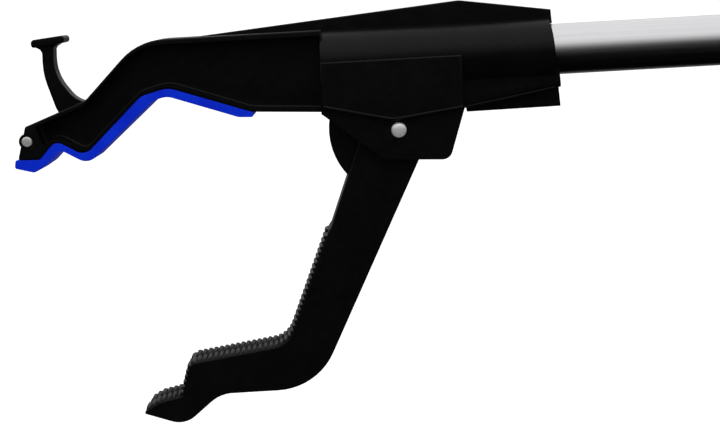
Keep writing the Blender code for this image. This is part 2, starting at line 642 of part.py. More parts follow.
def make_trigger():
    """The finger lever, drawn at rest: it is outlined half pulled and turned back by half its swing."""
    pivot = (TRIGGER_X, TRIGGER_Z)
    lever = rounded([
        (-8, 6, 5), (8, 6, 5), (8.2, -44, 3), (6.8, -60, 40), (-3.5, -119, 6), (-22, -122, 3.5),
        (-15.5, -104, 14), (-9.5, -78, 60), (-10.5, -50, 14), (-12.5, -44.5, 2.5), (-8, -42, 2),
    ])
    trigger = prism("trigger", lever, -9.0, 9.0, pivot, BLACK, edge=1.2)
    seat = rounded([
        (-24, -112, 0), (-13.6, -107, 0), (-7.4, -78, 60), (-8.6, -51, 0), (-24, -51, 0),
    ])
    reach = TRIGGER_CRANK / math.cos(TRIGGER_SWING / 2)
    slot_radius = CRANK_PIN_RADIUS + RUN
    slot = arc((0, RUN - TRIGGER_CRANK), slot_radius, 0, 180) + arc((0, -reach - RUN), slot_radius, 180, 360)
    cutters = [
        prism("pad_seat", seat, -7.8, 7.8, pivot),
        prism("trigger_slot", slot, -20, 20, pivot),
        rod_shape("trigger_bore", TRIGGER_PIN_RADIUS + RUN, "Y", (TRIGGER_X, -20, TRIGGER_Z), 40, 24),
    ]
    for side in (-1, 1):
        low, high = sorted((side * LUG_HALF, side * 20))
        fork_room = [(-20, -18), (20, -18), (20, -36.5), (-20, -36.5)]
        cutters.append(prism("fork_room", fork_room, low, high, pivot))
        low, high = sorted((side * 4.6, side * 20))
        narrow = [(low, -18.5), (high, -18.5), (high, -36), (low, -36)]
        cutters.append(prism("fork_swing", narrow, -20, 20, pivot))
        low, high = sorted((side * 6.8, side * 20))
        neck_side = [(-20, 20), (20, 20), (20, -43), (-20, -43)]
        cutters.append(prism("neck_side", neck_side, low, high, pivot))
    cut(trigger, *cutters)
    pad = rounded([
        (-16.4, -107.5, 0.9), (-13.9, -106.0, 0), (-7.8, -77.9, 60), (-9.0, -51.4, 0), (-11.1, -51.4, 1.2),
        (-10.2, -78, 60),
    ])
    soft = prism("trigger_pad", pad, -7.5, 7.5, pivot, BLUE, edge=0.5)
    swing = Matrix.Rotation(TRIGGER_SWING / 2, 4, "Y")
    centre = Matrix.Translation(Vector((TRIGGER_X, 0, TRIGGER_Z)) * MM)
    back = centre @ swing @ centre.inverted()
    for obj in (trigger, soft, *cutters):
        obj.matrix_world = back @ obj.matrix_world
    length = 2 * SHELL_INSIDE + 1
    radius = TRIGGER_PIN_RADIUS
    pin = [(0, length), (radius - 0.3, length), (radius, length - 0.3)]
    pin += [(radius, 0.3), (radius - 0.3, 0), (0, 0)]
    turned("trigger_pivot_pin", pin, "Y", (TRIGGER_X, -length / 2, TRIGGER_Z), STEEL)


make_jaw_frame()
make_jaw_liner()
make_tip_magnet()
make_lower_jaw()
make_jaw_pin()
make_tube()
make_rod_guide("front_rod_guide", TUBE_FRONT_X - GAP, 14, "X", False)
make_rod_guide("rear_rod_guide", TUBE_REAR_X + GAP, 18, "-X", True)
make_rod_train()
make_handle_shell("left_handle_shell", -1)
make_handle_shell("right_handle_shell", 1)
make_screws()
make_trigger()

for part in PARTS.objects:
    if part.type == "MESH":
        part.data.shade_smooth()
        part.data.set_sharp_from_angle(angle=math.radians(30))
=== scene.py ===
"""Looks of the reacher grabber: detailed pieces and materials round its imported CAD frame.

Lengths are in millimetres in the making, and MM turns them into metres. Head shapes are drawn
from the jaw's pivot, handle shapes from the frame's origin, both as (x, z) seen from -Y.
"""

import json
import math

import bmesh
import bpy
from mathutils import Matrix, Vector


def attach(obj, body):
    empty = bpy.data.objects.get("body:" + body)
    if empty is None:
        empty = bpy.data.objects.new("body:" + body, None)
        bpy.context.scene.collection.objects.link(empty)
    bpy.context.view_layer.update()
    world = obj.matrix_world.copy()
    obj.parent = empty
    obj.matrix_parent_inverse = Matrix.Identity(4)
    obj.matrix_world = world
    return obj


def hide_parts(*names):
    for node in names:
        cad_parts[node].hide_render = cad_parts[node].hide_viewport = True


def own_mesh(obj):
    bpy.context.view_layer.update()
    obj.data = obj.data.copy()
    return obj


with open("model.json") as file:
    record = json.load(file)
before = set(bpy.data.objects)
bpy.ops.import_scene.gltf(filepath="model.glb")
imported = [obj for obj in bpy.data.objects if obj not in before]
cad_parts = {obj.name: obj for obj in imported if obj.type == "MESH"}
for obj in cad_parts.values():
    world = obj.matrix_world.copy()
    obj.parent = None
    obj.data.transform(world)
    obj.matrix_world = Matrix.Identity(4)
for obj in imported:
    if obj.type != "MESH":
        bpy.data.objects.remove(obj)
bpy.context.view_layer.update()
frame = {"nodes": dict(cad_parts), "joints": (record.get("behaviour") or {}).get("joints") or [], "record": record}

MM = 0.001
ARC_STEP = math.radians(7)
GAP = 0.3  # air left between pieces that don't move on each other
JOINTS = {joint["name"]: joint for joint in frame["joints"]}
JAW_PIVOT = Vector(JOINTS["jaw_hinge"]["pos_m"]) / MM
TRIGGER_PIVOT = Vector(JOINTS["trigger_pull"]["pos_m"]) / MM
JAW_X = JAW_PIVOT.x
HEAD = (JAW_PIVOT.x, JAW_PIVOT.z)
LEVER = (TRIGGER_PIVOT.x, TRIGGER_PIVOT.z)
JAW_DROP = -JAW_PIVOT.z
JAW_SWING = math.radians(JOINTS["jaw_hinge"]["range_deg"][1])
TRIGGER_SWING = math.radians(JOINTS["trigger_pull"]["range_deg"][1])
ROD_Z = -4.0  # the pull rod's height from the tube's axis


# ---------------------------------------------------------------- outlines

def arc(centre, radius, start, end):
    """Points (x, z) on a circle between two angles, in degrees."""
    sweep = math.radians(end - start)
    steps = max(3, math.ceil(abs(sweep) / ARC_STEP))
    angles = [math.radians(start) + sweep * i / steps for i in range(steps + 1)]
    return [(centre[0] + radius * math.cos(a), centre[1] + radius * math.sin(a)) for a in angles]


def corner_arc(before, corner, after):
    """The arc that rounds one corner (x, z, radius) between its neighbours, or the corner itself."""
    here = Vector(corner[:2])
    radius = corner[2]
    if not radius:
        return [tuple(here)]
    back = (Vector(before[:2]) - here).normalized()
    onward = (Vector(after[:2]) - here).normalized()
    half = back.angle(onward) / 2
    start = here + back * radius / math.tan(half)
    end = here + onward * radius / math.tan(half)
    centre = here + (back + onward).normalized() * radius / math.sin(half)
    first = math.atan2(*(start - centre).yx)
    turn = math.atan2(*(end - centre).yx) - first
    turn = (turn + math.pi) % (2 * math.pi) - math.pi
    steps = max(2, math.ceil(abs(turn) / ARC_STEP))
    angles = [first + turn * k / steps for k in range(steps + 1)]
    return [tuple(centre + radius * Vector((math.cos(a), math.sin(a)))) for a in angles]


def rounded(corners):
    """A closed outline from its corners (x, z, radius), each corner turned into an arc."""
    points = []
    for i, corner in enumerate(corners):
        points += corner_arc(corners[i - 1], corner, corners[(i + 1) % len(corners)])
    return points


def rounded_path(corners):
    """An open line from its corners (x, z, radius)."""
    points = [corners[0][:2]]
    for before, corner, after in zip(corners, corners[1:], corners[2:]):
        points += corner_arc(before, corner, after)
    return points + [corners[-1][:2]]


def shifted(corners, up):
    """An open line of corners (x, z, radius) moved to its left by a distance."""
    made = []
    for i, (x, z, radius) in enumerate(corners):
        here = Vector((x, z))
        runs = [(here - Vector(corners[i - 1][:2])).normalized()] if i else []
        if i < len(corners) - 1:
            runs.append((Vector(corners[i + 1][:2]) - here).normalized())
        lefts = [Vector((-run.y, run.x)) for run in runs]
        middle = sum(lefts, Vector((0, 0))).normalized()
        moved = here + middle * up / middle.dot(lefts[0])
        turns_left = runs[0].cross(runs[-1]) > 0
        made.append((*moved, max(radius - up if turns_left else radius + up, 0.6)))
    return made


def leaned(points, angle):
    """Points (x, z) turned about the origin, anticlockwise when X points right and Z up."""
    c, s = math.cos(angle), math.sin(angle)
    return [(x * c - z * s, x * s + z * c) for x, z in points]


# ---------------------------------------------------------------- solids

def link(obj):
    bpy.context.scene.collection.objects.link(obj)
    return obj


def settle(obj):
    """Turns the object's modifiers, or its curve, into its own mesh."""
    bpy.context.view_layer.update()
    graph = bpy.context.evaluated_depsgraph_get()
    mesh = bpy.data.meshes.new_from_object(obj.evaluated_get(graph))
    bm = bmesh.new()
    bm.from_mesh(mesh)
    bmesh.ops.remove_doubles(bm, verts=bm.verts, dist=0.001 * MM)
    bm.to_mesh(mesh)
    bm.free()
    if obj.type == "MESH":
        obj.modifiers.clear()
        obj.data = mesh
        return obj
    made = bpy.data.objects.new(obj.name, mesh)
    made.matrix_world = obj.matrix_world
    name = obj.name
    bpy.data.objects.remove(obj)
    made.name = name
    return link(made)


def prism(name, outline, low_y, high_y, origin=HEAD, edge=0.0, steps=3):
    """A flat outline (x, z) made as thick as low_y to high_y, its long edges rounded by edge."""
    curve = bpy.data.curves.new(name, "CURVE")
    curve.dimensions = "2D"
    curve.fill_mode = "BOTH"
    curve.extrude = ((high_y - low_y) / 2 - edge) * MM
    curve.bevel_depth = edge * MM
    curve.bevel_resolution = steps
    curve.offset = -edge * MM
    spline = curve.splines.new("POLY")
    spline.points.add(len(outline) - 1)
    for point, (x, z) in zip(spline.points, outline):
        point.co = (x * MM, z * MM, 0, 1)
    spline.use_cyclic_u = True
    flat = link(bpy.data.objects.new(name, curve))
    flat.rotation_euler.x = math.radians(90)
    flat.location = Vector((origin[0], (low_y + high_y) / 2, origin[1])) * MM
    return settle(flat)


def block(name, low, high, origin=(0, 0), tilt=0.0):
    """A box between two corners measured from the origin, tilted about Y through the origin."""
    size = [(b - a) * MM for a, b in zip(low, high)]
    centre = Vector([(a + b) / 2 * MM for a, b in zip(low, high)])
    mesh = bpy.data.meshes.new(name)
    bm = bmesh.new()
    bmesh.ops.create_cube(bm, size=1, matrix=Matrix.Translation(centre) @ Matrix.Diagonal((*size, 1)))
    bm.to_mesh(mesh)
    bm.free()
    obj = link(bpy.data.objects.new(name, mesh))
    obj.location = (origin[0] * MM, 0, origin[1] * MM)
    obj.rotation_euler.y = tilt
    return obj


def facing(axis):
    """The turn that points a piece made along +Z down an axis."""
    turns = {"X": ("Y", 90), "-X": ("Y", -90), "Y": ("X", -90), "-Y": ("X", 90)}
    about, degrees = turns[axis]
    return Matrix.Rotation(math.radians(degrees), 4, about)


def turned(name, profile, axis, start, ring=False, sides=64):
    """A turned piece: profile (radius, height) runs down the outer side; a ring's comes back up."""
    mesh = bpy.data.meshes.new(name)
    points = [(radius * MM, 0, height * MM) for radius, height in profile]
    edges = [(i, i + 1) for i in range(len(points) - 1)]
    if ring:
        edges.append((len(points) - 1, 0))
    mesh.from_pydata(points, edges, [])
    obj = link(bpy.data.objects.new(name, mesh))
    obj.matrix_world = Matrix.Translation(Vector(start) * MM) @ facing(axis)
    screw = obj.modifiers.new("turn", "SCREW")
    screw.steps = sides
    screw.render_steps = sides
    screw.use_merge_vertices = True
    screw.merge_threshold = 0.00001
    return settle(obj)


def rod_shape(name, radius, axis, start, length, sides=64, edge=0.0):
    """A cylinder from a start point (x, y, z) along an axis, its rims rounded by edge."""
    profile = [(0, length)]
    if edge:
        profile += [(radius - edge + edge * math.sin(a), length - edge + edge * math.cos(a)) for a in quarter()]
        profile += [(radius - edge + edge * math.cos(a), edge - edge * math.sin(a)) for a in quarter()]
    else:
        profile += [(radius, length), (radius, 0)]
    return turned(name, profile + [(0, 0)], axis, start, sides=sides)


def quarter(steps=4):
    """The angles of a quarter turn."""
    return [math.pi / 2 * i / steps for i in range(steps + 1)]


def wire(name, points, radius, resolution=4):
    """A round wire through world points (x, y, z) in millimetres, closed at its ends."""
    curve = bpy.data.curves.new(name, "CURVE")
    curve.dimensions = "3D"
    curve.bevel_depth = radius * MM
    curve.bevel_resolution = resolution
    curve.use_fill_caps = True
    spline = curve.splines.new("POLY")
    spline.points.add(len(points) - 1)
    for point, at in zip(spline.points, points):
        point.co = (*(Vector(at) * MM), 1)
    return settle(link(bpy.data.objects.new(name, curve)))


def boolean(target, others, operation):
    """Joins or cuts one mesh with others, one at a time, and removes the others."""
    for other in others:
        step = target.modifiers.new(other.name, "BOOLEAN")
        step.operation = operation
        step.solver = "EXACT"
        step.object = other
        settle(target)
        bpy.data.objects.remove(other)
    return target


def cut(target, *cutters):
    return boolean(target, cutters, "DIFFERENCE")


def join(target, *others):
    return boolean(target, others, "UNION")


def round_edges(obj, widths, steps=4):
    """Rounds a prism's long edges; widths(x, z), from the outline's origin, gives the radius at a point."""
    bm = bmesh.new()
    bm.from_mesh(obj.data)
    half = max(abs(v.co.z) for v in bm.verts)
    groups = {}
    for edge in bm.edges:
        a, b = edge.verts
        flat = abs(abs(a.co.z) - half) < 1e-6 and abs(a.co.z - b.co.z) < 1e-6
        if flat and any(abs(face.normal.z) < 0.5 for face in edge.link_faces):
            middle = (a.co + b.co) / 2 / MM
            groups.setdefault(widths(middle.x, middle.y), []).append(edge)
    for width in sorted(groups, reverse=True):
        live = [edge for edge in groups[width] if edge.is_valid]
        if width and live:
            bmesh.ops.bevel(
                bm, geom=live, offset=width * MM, segments=steps, profile=0.5, affect="EDGES",
                clamp_overlap=True,
            )
    bm.to_mesh(obj.data)
    bm.free()
    return obj


# ---------------------------------------------------------------- materials

class Nodes:
    """A material's node tree, with its Principled shader."""

    def __init__(self, name, **constants):
        self.material = bpy.data.materials.new(name)
        self.material.use_nodes = True
        self.tree = self.material.node_tree
        self.shader = self.tree.nodes["Principled BSDF"]
        for socket, value in constants.items():
            self.shader.inputs[socket.replace("_", " ")].default_value = value
        self.place = self.tree.nodes.new("ShaderNodeTexCoord").outputs["Object"]

    def scaled(self, stretch):
        node = self.tree.nodes.new("ShaderNodeMapping")
        node.inputs["Scale"].default_value = stretch
        self.tree.links.new(self.place, node.inputs["Vector"])
        return node.outputs["Vector"]

    def noise(self, scale, detail=2.0, stretch=(1, 1, 1), roughness=0.5):
        node = self.tree.nodes.new("ShaderNodeTexNoise")
        node.inputs["Scale"].default_value = scale
        node.inputs["Detail"].default_value = detail
        node.inputs["Roughness"].default_value = roughness
        self.tree.links.new(self.scaled(stretch), node.inputs["Vector"])
        return node.outputs["Fac"]

    def voronoi(self, scale):
        node = self.tree.nodes.new("ShaderNodeTexVoronoi")
        node.inputs["Scale"].default_value = scale
        self.tree.links.new(self.place, node.inputs["Vector"])
        return node.outputs["Distance"]

    def ramp(self, source, low, high, start=0.3, end=0.7):
        """Colours or greys between two values as the source goes from start to end."""
        node = self.tree.nodes.new("ShaderNodeValToRGB")
        for stop, place, value in zip(node.color_ramp.elements, (start, end), (low, high)):
            stop.position = place
            stop.color = (*value, 1) if hasattr(value, "__len__") else (value, value, value, 1)
        self.tree.links.new(source, node.inputs["Fac"])
        return node.outputs["Color"]

    def set(self, socket, source):
        self.tree.links.new(source, self.shader.inputs[socket])

    def bump(self, heights, distance):
        """Stacks bumps of (source, strength) onto the surface."""
        normal = None
        for source, strength in heights:
            node = self.tree.nodes.new("ShaderNodeBump")
            node.inputs["Strength"].default_value = strength
            node.inputs["Distance"].default_value = distance
            self.tree.links.new(source, node.inputs["Height"])
            if normal:
                self.tree.links.new(normal, node.inputs["Normal"])
            normal = node.outputs["Normal"]
        self.set("Normal", normal)


def moulded_plastic(name, dark, light, rough):
    """Satin black moulding: spark-eroded grain, faint flow clouds and uneven gloss."""
    nodes = Nodes(name, IOR=1.46, Specular_IOR_Level=0.2)
    clouds = nodes.noise(90, 3)
    nodes.set("Base Color", nodes.ramp(clouds, dark, light))
    nodes.set("Roughness", nodes.ramp(nodes.noise(420, 4), rough - 0.06, rough + 0.06))
    nodes.bump([(nodes.noise(3200, 2), 0.22), (nodes.voronoi(2600), 0.12)], 0.00006)
    return nodes.material


def rubber(name, dark, light):
    """Soft moulded rubber: a dull bloom in patches and fine pits."""
    nodes = Nodes(name, IOR=1.5, Specular_IOR_Level=0.2)
    nodes.set("Base Color", nodes.ramp(nodes.noise(160, 4), dark, light))
    nodes.set("Roughness", nodes.ramp(nodes.noise(700, 3), 0.42, 0.6))
    nodes.bump([(nodes.noise(2400, 3), 0.25), (nodes.voronoi(1500), 0.1)], 0.00008)
    return nodes.material


def anodised(name):
    """Satin anodised aluminium: drawn lines along the tube and a faint etch."""
    nodes = Nodes(name, Metallic=1.0)
    lines = nodes.noise(1400, 3, (1, 1, 0.012))
    nodes.set("Base Color", nodes.ramp(lines, (0.73, 0.72, 0.735), (0.8, 0.79, 0.805)))
    nodes.set("Roughness", nodes.ramp(nodes.noise(500, 3, (1, 1, 0.02)), 0.26, 0.34))
    nodes.bump([(lines, 0.06), (nodes.noise(5000, 2), 0.05)], 0.00003)
    return nodes.material


def plated(name, dark, light, rough, metallic):
    """Bright plating: small stains, hairline marks and a hand-worn gloss."""
    nodes = Nodes(name, Metallic=metallic)
    nodes.set("Base Color", nodes.ramp(nodes.noise(600, 4), dark, light))
    nodes.set("Roughness", nodes.ramp(nodes.noise(1500, 4), rough - 0.05, rough + 0.09))
    nodes.bump([(nodes.noise(2600, 3), 0.08)], 0.00003)
    return nodes.material


def nylon(name):
    """Natural nylon of the rod's guides: cream, faintly cloudy and slightly see-through."""
    nodes = Nodes(name, IOR=1.53, Subsurface_Weight=0.1, Subsurface_Scale=0.001)
    nodes.set("Base Color", nodes.ramp(nodes.noise(200, 3), (0.66, 0.64, 0.57), (0.76, 0.74, 0.68)))
    nodes.set("Roughness", nodes.ramp(nodes.noise(800, 3), 0.38, 0.5))
    nodes.bump([(nodes.noise(3000, 2), 0.15)], 0.00005)
    return nodes.material


BLACK = moulded_plastic("black_plastic", (0.0016, 0.0017, 0.0020), (0.0025, 0.0026, 0.0030), 0.36)
BLUE = rubber("blue_rubber", (0.0, 0.02, 0.68), (0.0, 0.034, 0.8))
ALUMINIUM = anodised("aluminium")
STEEL = plated("steel", (0.78, 0.78, 0.79), (0.9, 0.9, 0.9), 0.3, 0.55)
NICKEL = plated("nickel", (0.76, 0.75, 0.73), (0.88, 0.87, 0.85), 0.24, 0.6)
NYLON = nylon("nylon")
SLOTS = {
    "black_plastic": BLACK, "blue_rubber": BLUE, "aluminium": ALUMINIUM,
    "steel": STEEL, "nickel": NICKEL, "nylon": NYLON,
}


def dress(obj, slot, body, *nodes, sharp=32):
    """Gives a finished piece its material, its smooth shading and its body, and hides the CAD nodes it stands for.
    """
    obj.data.materials.clear()
    obj.data.materials.append(SLOTS[slot])
    obj.data.shade_smooth()
    obj.data.set_sharp_from_angle(angle=math.radians(sharp))
    even = obj.modifiers.new("even_normals", "WEIGHTED_NORMAL")
    even.keep_sharp = True
    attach(obj, body)
    if nodes:
        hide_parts(*nodes)
    return obj


# ---------------------------------------------------------------- head

# Half widths across the head
UPPER_HALF = 7.5
WEB_HALF = 2.3
DISC_ROOM = 5.3
EAR_HALF = 10.0
EAR_SLOT_HALF = 7.1
CHEEK_HALF = 11.5
KEEL_HALF = 6.4
FIN_HALF = 1.3
LOWER_HALF = 6.75

LIP = 1.05  # width of the lip that the web's recess leaves along the arm's underside
MAGNET = (-117.1, 2.4)
MAGNET_RADIUS = 1.75
TUBE_RADIUS = 8.0
BARREL_RADIUS = 10.1
REAR_FACE = 50.9  # the head's back end, behind the jaw's pivot
REAR_TILT = math.radians(-4.5)
HEAD_SCREW = 38  # behind the jaw's pivot
HEAD_SCREW_SEAT = 9.2
PIN_BORE = 2.25
SCREW_HOLE = 1.65
SCREW_SEAT_RADIUS = 3.4
TOOTH_PITCH = 1.85
TOOTH_HEIGHT = 1.0
TOOTH_SINK = 0.5
# The arm's underside from the tip to the cheeks: corners (x, z, radius)
UNDERSIDE = (
    (-120.4, -3.2, 0.6), (-113.6, -3.4, 1.2), (-108.1, 2.4, 3.0), (-99.3, -2.9, 4.0),
    (-80.1, 14.8, 6.0), (-71.5, 16.95, 8.0), (-46.0, 7.9, 14.0), (-22.5, 6.5, 0),
)


def both_sides(low, high):
    """The two spans of Y from low to high on either side."""
    return [(-high, -low), (low, high)]


def make_jaw_frame():
    """The fixed moulding: I-section upper jaw, hook, cheeks, ears, fins and the tube socket."""
    arm = rounded([(-22.5, 32.0, 0), (-79.5, 32.0, 20), (-97.6, 14.3, 4), (-117.2, 7.1, 0.8), *UNDERSIDE])
    body = prism("jaw_frame_moulding", arm, -UPPER_HALF, UPPER_HALF, edge=0.45)
    lip = shifted(UNDERSIDE, LIP)
    recess = rounded([
        (-23.2, 30.4, 0), (-80.1, 30.4, 18.4), (-98.1, 12.8, 5), (-114.0, 6.9, 0.9),
        (-112.2, 0.2, 0.9), *lip[2:-1], (-23.2, lip[-1][1], 0),
    ])
    for low, high in both_sides(WEB_HALF, 20):
        cut(body, prism("recess", recess, low, high, edge=0.7))
    round_edges(body, lambda x, z: 0.45, 4)
    cheeks = rounded([
        (-23.5, JAW_DROP + 0.4, 0), (20.5, JAW_DROP + 0.4, 0), (20.5, 5.7, 0), (-1.0, 2.7, 16),
        (-23.5, 8.0, 0),
    ])
    keel = rounded([(-8, 24, 0), (56, 24, 0), (56, 10.9, 0), (20, 4.9, 3), (-8, 4.9, 0)])
    ears = rounded([
        (-23.9, 13.8, 0), (-23.9, 6.15, 0), (-4.8, -9.2, 2.5), (15.7, -10.3, 3.2),
        (20.8, 5.4, 0), (20.8, 13.8, 0),
    ])
    top_fin = rounded([(-64, 30, 0), (-61, 32.15, 0), (21.1, 38.8, 6), (56, 33.5, 0), (56, 30, 0)])
    low_fin = rounded([(15, 12, 0), (15, 3.5, 0), (56, 3.8, 0), (56, 12, 0)])
    stem = rounded([
        (-106.6, 9.0, 0), (-108.1, 12.2, 6), (-111.1, 23.0, 22), (-110.7, 30.4, 2), (-113.0, 31.6, 0),
        (-112.0, 33.4, 0), (-104.6, 34.0, 0), (-104.6, 32.6, 0), (-107.1, 31.2, 1.6), (-107.6, 22.8, 14),
        (-100.9, 13.3, 8), (-94.0, 13.6, 0),
    ])
    bar = rounded([
        (-113.6, 31.2, 0.9), (-113.7, 33.8, 1.2), (-103.1, 34.85, 1.0), (-103.1, 32.65, 0.9),
        (-107.6, 31.9, 2.0), (-111.6, 31.6, 0.8),
    ])
    magnet_x, magnet_z = JAW_X + MAGNET[0], MAGNET[1] - JAW_DROP
    boss_half = UPPER_HALF - 0.2
    rear_x = JAW_X + REAR_FACE
    barrel = rod_shape("barrel", BARREL_RADIUS, "X", (JAW_X - 23.4, 0, 0), 78, 96, edge=0.5)
    cut(barrel, block("barrel_face", (0, -30, -40), (40, 30, 40), (rear_x - 1.2, 0), tilt=REAR_TILT))
    join(
        body,
        rod_shape(
            "magnet_boss", MAGNET_RADIUS + 0.8, "Y", (magnet_x, -boss_half, magnet_z), 2 * boss_half, edge=0.3
        ),
        barrel,
        prism("cheeks", cheeks, -CHEEK_HALF, CHEEK_HALF, edge=0.5),
        prism("keel", keel, -KEEL_HALF, KEEL_HALF, edge=1.5),
        round_edges(prism("ears", ears, -EAR_HALF, EAR_HALF), lambda x, z: 1.8 if z < 5 else 0, 5),
        prism("top_fin", top_fin, -FIN_HALF, FIN_HALF, edge=0.35),
        prism("low_fin", low_fin, -FIN_HALF, FIN_HALF, edge=0.35),
        prism("hook_stem", stem, -2.6, 2.6, edge=0.3),
        prism("hook_bar", bar, -4, 4, edge=0.35),
    )
    beads = (
        (CHEEK_HALF - 0.15, 0.55, [(-23.1, 8.5, 0), (-12.5, 5.95, 20), (-1.5, 3.4, 14), (20.2, 6.2, 0)]),
        (6.3, 0.4, [(20.8, 5.6, 0), (32.3, 7.35, 30), (49.8, 10.25, 0)]),
    )
    for reach, radius, path in beads:
        for y in (-reach, reach):
            line = [(HEAD[0] + x, y, HEAD[1] + z) for x, z in rounded_path(path)]
            join(body, wire("lip_bead", line, radius))
    cut(
        body,
        block("rear_face", (0, -30, -40), (40, 30, 40), (rear_x, 0), tilt=REAR_TILT),
        rod_shape("socket", TUBE_RADIUS + 0.25, "X", (JAW_X + 18.4, 0, 0), 60, 96),
        rod_shape("disc_room", 22.8, "Y", (JAW_X, -DISC_ROOM, -JAW_DROP), 2 * DISC_ROOM, 96),
        block("crank_room", (-14, -DISC_ROOM - 0.03, 10), (20.1, DISC_ROOM + 0.03, 24.4), HEAD),
        rod_shape("root_room", 15.9, "Y", (JAW_X, -EAR_SLOT_HALF, -JAW_DROP), 2 * EAR_SLOT_HALF, 96),
        block("ear_slot", (-30, -EAR_SLOT_HALF, -20), (20.2, EAR_SLOT_HALF, 4.3), HEAD),
        rod_shape("pin_hole", PIN_BORE, "Y", (JAW_X, -20, -JAW_DROP), 40, 48),
        rod_shape("nut_room", 3.7, "Y", (JAW_X, EAR_HALF + 0.1, -JAW_DROP), 3, 48),
        rod_shape("magnet_hole", MAGNET_RADIUS + 0.25, "Y", (magnet_x, -20, magnet_z), 40, 48),
        rod_shape("screw_hole", SCREW_HOLE, "Y", (JAW_X + HEAD_SCREW, 5, 0), 20, 32),
        rod_shape("screw_seat", SCREW_SEAT_RADIUS, "Y", (JAW_X + HEAD_SCREW, HEAD_SCREW_SEAT, 0), 20, 48),
    )
    dress(body, "black_plastic", "frame", "jaw_frame")


def make_jaw_liner():
    """The soft strip that follows the underside of the upper jaw."""
    top = shifted(UNDERSIDE, -0.05)[-3:0:-1]
    strip = rounded([
        (-45.3, 7.9, 0.7), *top, (-121.3, -3.25, 0.7), (-121.8, -5.9, 0.8), (-115.6, -7.6, 2),
        (-111.6, -5.2, 3), (-106.9, -0.8, 2), (-98.5, -5.8, 4.5), (-76.3, 13.1, 5), (-72.0, 14.2, 6),
        (-50.0, 6.4, 4), (-45.4, 6.2, 0.7),
    ])
    dress(prism("jaw_liner_strip", strip, -7.3, 7.3, edge=0.35), "blue_rubber", "frame", "jaw_liner")


def make_magnet():
    half = UPPER_HALF - 0.1
    start = (JAW_X + MAGNET[0], -half, MAGNET[1] - JAW_DROP)
    magnet = rod_shape("tip_magnet_disc", MAGNET_RADIUS, "Y", start, 2 * half, 48, edge=0.6)
    dress(magnet, "nickel", "frame", "tip_magnet")


def teeth(name, path, first_offset, rows, pitch, height, sink):
    """Two staggered rows of elongated hip-roofed teeth along a path of points (x, z)."""
    bm = bmesh.new()
    points = [Vector(p) for p in path]
    runs = [(b - a).length for a, b in zip(points, points[1:])]
    total = sum(runs)

    def at(distance):
        """The point and outward direction at a distance along the path."""
        left = min(max(distance, 0), total)
        for i, run in enumerate(runs):
            if left <= run or i == len(runs) - 1:
                along = (points[i + 1] - points[i]) / run
                return points[i] + along * left, along
            left -= run

    # Each tooth's levels: how far up it, its share of the foot's length, and how far its ends draw in
    levels_up = (
        (-sink, 1.0, 0.0), (0.0, 1.0, 0.0), (0.5, 0.62, 0.3), (0.85, 0.3, 0.65), (1.0, 0.1, 1.0),
    )
    for row, (low, high) in enumerate(rows):
        distance = first_offset + (pitch / 2 if row else 0)
        while distance < total - pitch * 0.4:
            point, along = at(distance)
            before, _ = at(distance - pitch * 0.7)
            after, _ = at(distance + pitch * 0.7)
            along = (after - before).normalized()
            out = Vector((along.y, -along.x))
            foot = pitch * 0.47
            levels = []
            for lift, spread, inset in levels_up:
                rise = lift if lift < 0 else lift * height
                inset_y = inset * (high - low) * 0.26
                corners = []
                near, far = low + inset_y, high - inset_y
                for side, y in ((-1, near), (-1, far), (1, far), (1, near)):
                    flat = point + along * side * foot * spread + out * rise
                    corners.append(bm.verts.new((flat.x * MM, -y * MM, flat.y * MM)))
                levels.append(corners)
            bm.faces.new(levels[0])
            bm.faces.new(reversed(levels[-1]))
            for under, over in zip(levels, levels[1:]):
                for i in range(4):
                    j = (i + 1) % 4
                    bm.faces.new((under[i], over[i], over[j], under[j]))
            distance += pitch
    bmesh.ops.recalc_face_normals(bm, faces=bm.faces)
    mesh = bpy.data.meshes.new(name)
    bm.to_mesh(mesh)
    bm.free()
    obj = link(bpy.data.objects.new(name, mesh))
    obj.location = (HEAD[0] * MM, 0, HEAD[1] * MM)
    return obj


